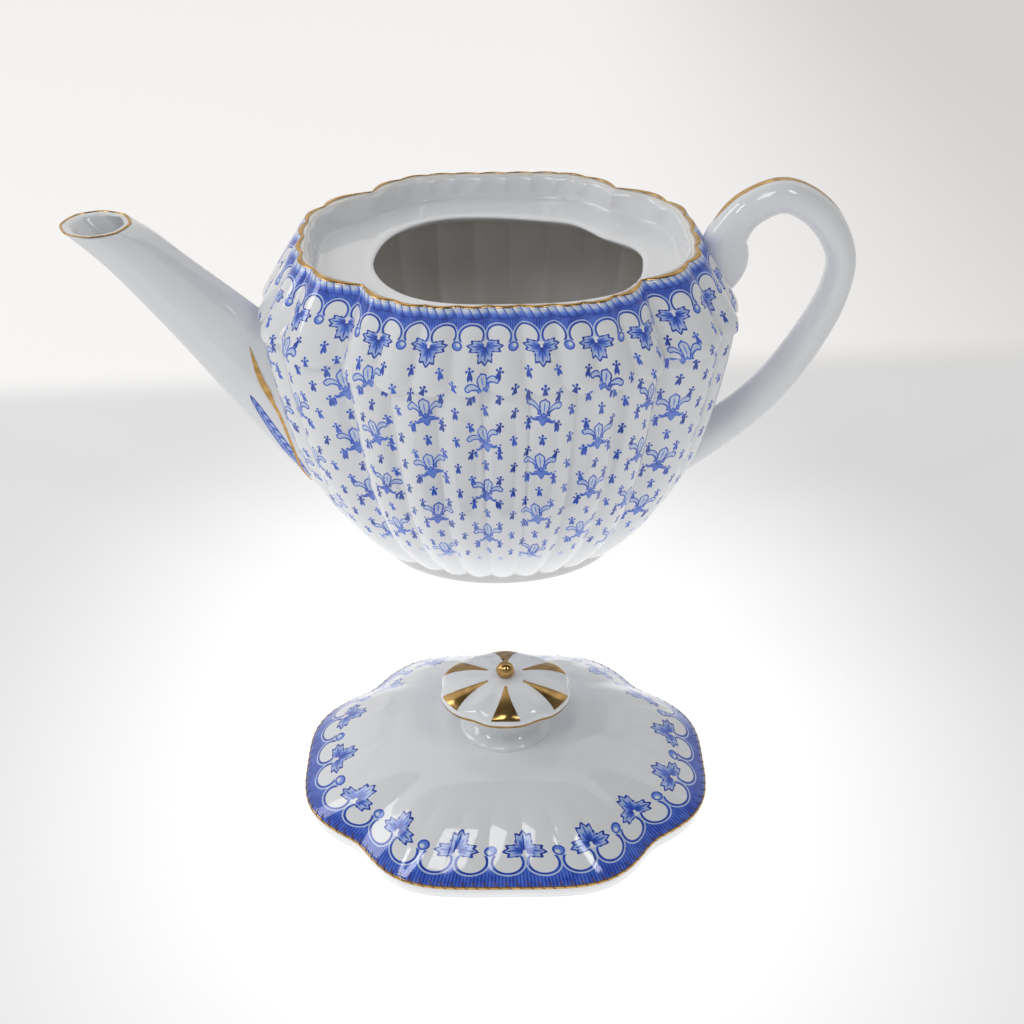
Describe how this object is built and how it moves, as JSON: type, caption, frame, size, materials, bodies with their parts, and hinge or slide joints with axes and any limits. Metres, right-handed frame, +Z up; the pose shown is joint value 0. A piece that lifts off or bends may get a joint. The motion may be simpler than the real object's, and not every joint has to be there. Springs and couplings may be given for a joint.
{
  "type": "teapot with lid",
  "caption": "Fluted porcelain teapot of oblong plan with cut-in corners, hollow spout, loop handle, sunk lid seat and a domed lid with a lobed knob, lid standing beside it.",
  "frame": {"origin": "on the table, under the middle of the pot and its lid together", "axes": "+Z up, +X towards the handle, -X towards the spout, the lid stands towards -Y"},
  "size_m": [0.2396, 0.2236, 0.1257],
  "materials": {
    "porcelain": "glossy",
    "gilding": "glossy"
  },
  "bodies": {
    "pot": {"body_shell": "porcelain", "foot_ring": "porcelain", "gallery": "porcelain", "spout": "porcelain", "handle": "porcelain", "rim_gilding": "gilding", "spout_lip_gilding": "gilding", "handle_gilding": "gilding"},
    "lid": {"lid_dome": "porcelain", "lid_gilding": "gilding", "knob_neck": "porcelain", "knob_cap": "porcelain", "knob_gilding": "gilding", "knob_bead": "gilding"}
  },
  "joints": [
    {"name": "lid_lift", "type": "slide", "parent": "pot", "child": "lid", "axis": [0, 0, 1], "range_m": [0, 0.16]}
  ]
}
